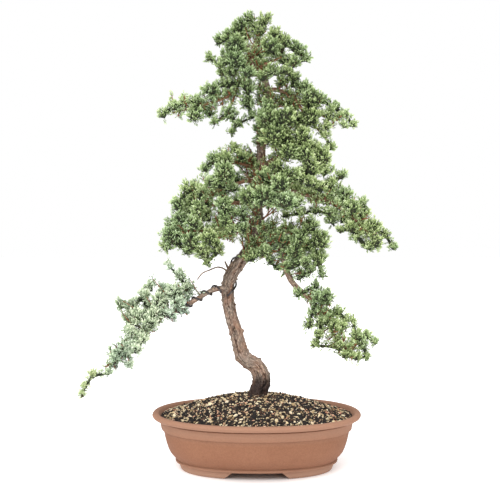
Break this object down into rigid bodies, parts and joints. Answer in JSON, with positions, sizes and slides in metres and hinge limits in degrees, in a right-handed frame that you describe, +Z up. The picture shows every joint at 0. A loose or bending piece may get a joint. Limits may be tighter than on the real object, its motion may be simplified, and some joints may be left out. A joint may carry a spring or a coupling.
{
  "type": "juniper bonsai in oval pot",
  "caption": "Green mound juniper bonsai with a curved trunk, layered sprays of short scale-leaved shoots and wired low branches, standing in gritty soil in an oval clay training pot.",
  "frame": {"origin": "middle of the whole object's footprint box, on the surface the pot stands on", "axes": "+Z up to the tree's apex (longest extent), +X to the viewer's right along the pot's length, +Y to the back (shortest extent)"},
  "size_m": [0.4644, 0.2412, 0.6689],
  "materials": {
    "clay": "matte unglazed terracotta",
    "screen": "matte black mesh",
    "soil": "dark loam with pale grit",
    "bark": "fissured grey-brown bark",
    "wire": "dark anodised, dull",
    "foliage_green": "matte green scale leaves",
    "foliage_blue_green": "matte blue-green scale leaves"
  },
  "bodies": {
    "root": {"pot": "clay", "drain_screen_left": "screen", "drain_screen_right": "screen", "soil": "soil", "trunk_and_branches": "bark", "branch_wire": "wire", "trunk_wire": "wire", "foliage_apex_top": "foliage_green", "foliage_apex_left": "foliage_green", "foliage_apex_right": "foliage_green", "foliage_apex_back": "foliage_green", "foliage_upper_left_inner": "foliage_green", "foliage_upper_left_tip": "foliage_green", "foliage_upper_right_inner": "foliage_green", "foliage_upper_right_tip": "foliage_green", "foliage_front_upper": "foliage_green", "foliage_front_right": "foliage_green", "foliage_front_middle": "foliage_green", "foliage_front_lower": "foliage_green", "foliage_right_inner": "foliage_green", "foliage_right_tip": "foliage_green", "foliage_left_upper": "foliage_green", "foliage_left_outer": "foliage_green", "foliage_left_lower": "foliage_green", "foliage_left_inner": "foliage_green", "foliage_under_middle": "foliage_green", "foliage_lower_right_upper": "foliage_green", "foliage_lower_right_under": "foliage_green", "foliage_low_right_inner": "foliage_green", "foliage_low_right_middle": "foliage_green", "foliage_low_right_tip": "foliage_green", "foliage_low_left_inner": "foliage_blue_green", "foliage_low_left_middle": "foliage_blue_green", "foliage_low_left_outer": "foliage_blue_green", "foliage_low_left_tip": "foliage_blue_green", "foliage_back_upper": "foliage_green", "foliage_back_middle": "foliage_green", "foliage_back_left": "foliage_green", "foliage_back_left_outer": "foliage_green", "foliage_back_right": "foliage_green", "foliage_back_lower_right": "foliage_green"}
  },
  "joints": []
}
